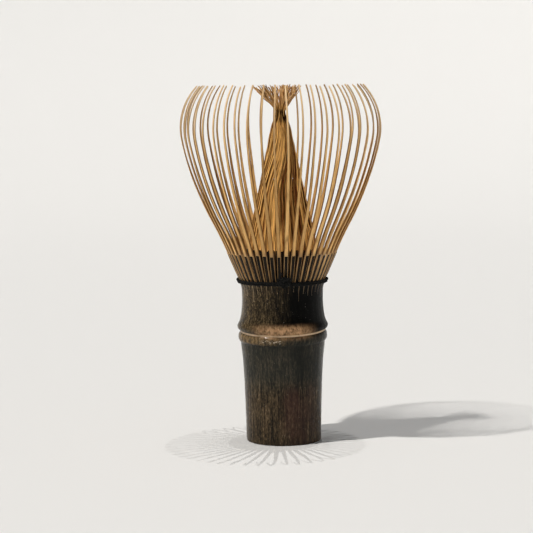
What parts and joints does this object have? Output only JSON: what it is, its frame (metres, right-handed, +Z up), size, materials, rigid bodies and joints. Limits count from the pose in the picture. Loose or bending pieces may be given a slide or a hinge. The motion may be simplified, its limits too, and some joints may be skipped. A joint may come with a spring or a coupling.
{
  "type": "bamboo tea whisk",
  "caption": "Upright bamboo tea whisk: dark culm handle with a node ridge, a swelling cage of fine tines curled in at the tips, a narrow inner bundle and a black binding thread.",
  "frame": {"origin": "centre of the handle's lower end, on the surface that the whisk stands on", "axes": "+Z up along the handle's axis, towards the tines; +X to the right and the knot of the thread towards -Y, the front"},
  "size_m": [0.0658, 0.0655, 0.1152],
  "materials": {
    "smoked_culm": "satin",
    "cage_tine": "satin",
    "bundle_tine": "satin",
    "black_thread": "matte"
  },
  "bodies": {
    "handle": {"handle": "smoked_culm", "inner_tines_01": "bundle_tine", "inner_tines_02": "bundle_tine", "inner_tines_03": "bundle_tine", "inner_tines_04": "bundle_tine", "inner_tines_05": "bundle_tine", "inner_tines_06": "bundle_tine", "inner_tines_07": "bundle_tine", "inner_tines_08": "bundle_tine", "inner_tines_09": "bundle_tine", "inner_tines_10": "bundle_tine", "inner_tines_11": "bundle_tine", "inner_tines_12": "bundle_tine", "inner_tines_13": "bundle_tine", "inner_tines_14": "bundle_tine", "inner_tines_15": "bundle_tine", "inner_tines_16": "bundle_tine", "thread_round_lower": "black_thread", "thread_round_upper": "black_thread", "thread_round_inner": "black_thread", "thread_knot": "black_thread"},
    "cage_segment_01": {"outer_tines_01": "cage_tine"},
    "cage_segment_02": {"outer_tines_02": "cage_tine"},
    "cage_segment_03": {"outer_tines_03": "cage_tine"},
    "cage_segment_04": {"outer_tines_04": "cage_tine"},
    "cage_segment_05": {"outer_tines_05": "cage_tine"},
    "cage_segment_06": {"outer_tines_06": "cage_tine"},
    "cage_segment_07": {"outer_tines_07": "cage_tine"},
    "cage_segment_08": {"outer_tines_08": "cage_tine"},
    "cage_segment_09": {"outer_tines_09": "cage_tine"},
    "cage_segment_10": {"outer_tines_10": "cage_tine"},
    "cage_segment_11": {"outer_tines_11": "cage_tine"},
    "cage_segment_12": {"outer_tines_12": "cage_tine"},
    "cage_segment_13": {"outer_tines_13": "cage_tine"},
    "cage_segment_14": {"outer_tines_14": "cage_tine"},
    "cage_segment_15": {"outer_tines_15": "cage_tine"},
    "cage_segment_16": {"outer_tines_16": "cage_tine"}
  },
  "joints": [
    {"name": "flex_01", "type": "hinge", "parent": "handle", "child": "cage_segment_01", "pos_m": [0.01324, 0.00263, 0.0524], "axis": [-0.1951, 0.9808, 0], "range_deg": [-6, 5], "stiffness_Nm_per_rad": 0.01},
    {"name": "flex_02", "type": "hinge", "parent": "handle", "child": "cage_segment_02", "pos_m": [0.01122, 0.0075, 0.0524], "axis": [-0.5556, 0.8315, 0], "range_deg": [-6, 5], "stiffness_Nm_per_rad": 0.01},
    {"name": "flex_03", "type": "hinge", "parent": "handle", "child": "cage_segment_03", "pos_m": [0.0075, 0.01122, 0.0524], "axis": [-0.8315, 0.5556, 0], "range_deg": [-6, 5], "stiffness_Nm_per_rad": 0.01},
    {"name": "flex_04", "type": "hinge", "parent": "handle", "child": "cage_segment_04", "pos_m": [0.00263, 0.01324, 0.0524], "axis": [-0.9808, 0.1951, 0], "range_deg": [-6, 5], "stiffness_Nm_per_rad": 0.01},
    {"name": "flex_05", "type": "hinge", "parent": "handle", "child": "cage_segment_05", "pos_m": [-0.00263, 0.01324, 0.0524], "axis": [-0.9808, -0.1951, 0], "range_deg": [-6, 5], "stiffness_Nm_per_rad": 0.01},
    {"name": "flex_06", "type": "hinge", "parent": "handle", "child": "cage_segment_06", "pos_m": [-0.0075, 0.01122, 0.0524], "axis": [-0.8315, -0.5556, 0], "range_deg": [-6, 5], "stiffness_Nm_per_rad": 0.01},
    {"name": "flex_07", "type": "hinge", "parent": "handle", "child": "cage_segment_07", "pos_m": [-0.01122, 0.0075, 0.0524], "axis": [-0.5556, -0.8315, 0], "range_deg": [-6, 5], "stiffness_Nm_per_rad": 0.01},
    {"name": "flex_08", "type": "hinge", "parent": "handle", "child": "cage_segment_08", "pos_m": [-0.01324, 0.00263, 0.0524], "axis": [-0.1951, -0.9808, 0], "range_deg": [-6, 5], "stiffness_Nm_per_rad": 0.01},
    {"name": "flex_09", "type": "hinge", "parent": "handle", "child": "cage_segment_09", "pos_m": [-0.01324, -0.00263, 0.0524], "axis": [0.1951, -0.9808, 0], "range_deg": [-6, 5], "stiffness_Nm_per_rad": 0.01},
    {"name": "flex_10", "type": "hinge", "parent": "handle", "child": "cage_segment_10", "pos_m": [-0.01122, -0.0075, 0.0524], "axis": [0.5556, -0.8315, 0], "range_deg": [-6, 5], "stiffness_Nm_per_rad": 0.01},
    {"name": "flex_11", "type": "hinge", "parent": "handle", "child": "cage_segment_11", "pos_m": [-0.0075, -0.01122, 0.0524], "axis": [0.8315, -0.5556, 0], "range_deg": [-6, 5], "stiffness_Nm_per_rad": 0.01},
    {"name": "flex_12", "type": "hinge", "parent": "handle", "child": "cage_segment_12", "pos_m": [-0.00263, -0.01324, 0.0524], "axis": [0.9808, -0.1951, 0], "range_deg": [-6, 5], "stiffness_Nm_per_rad": 0.01},
    {"name": "flex_13", "type": "hinge", "parent": "handle", "child": "cage_segment_13", "pos_m": [0.00263, -0.01324, 0.0524], "axis": [0.9808, 0.1951, 0], "range_deg": [-6, 5], "stiffness_Nm_per_rad": 0.01},
    {"name": "flex_14", "type": "hinge", "parent": "handle", "child": "cage_segment_14", "pos_m": [0.0075, -0.01122, 0.0524], "axis": [0.8315, 0.5556, 0], "range_deg": [-6, 5], "stiffness_Nm_per_rad": 0.01},
    {"name": "flex_15", "type": "hinge", "parent": "handle", "child": "cage_segment_15", "pos_m": [0.01122, -0.0075, 0.0524], "axis": [0.5556, 0.8315, 0], "range_deg": [-6, 5], "stiffness_Nm_per_rad": 0.01},
    {"name": "flex_16", "type": "hinge", "parent": "handle", "child": "cage_segment_16", "pos_m": [0.01324, -0.00263, 0.0524], "axis": [0.1951, 0.9808, 0], "range_deg": [-6, 5], "stiffness_Nm_per_rad": 0.01}
  ]
}
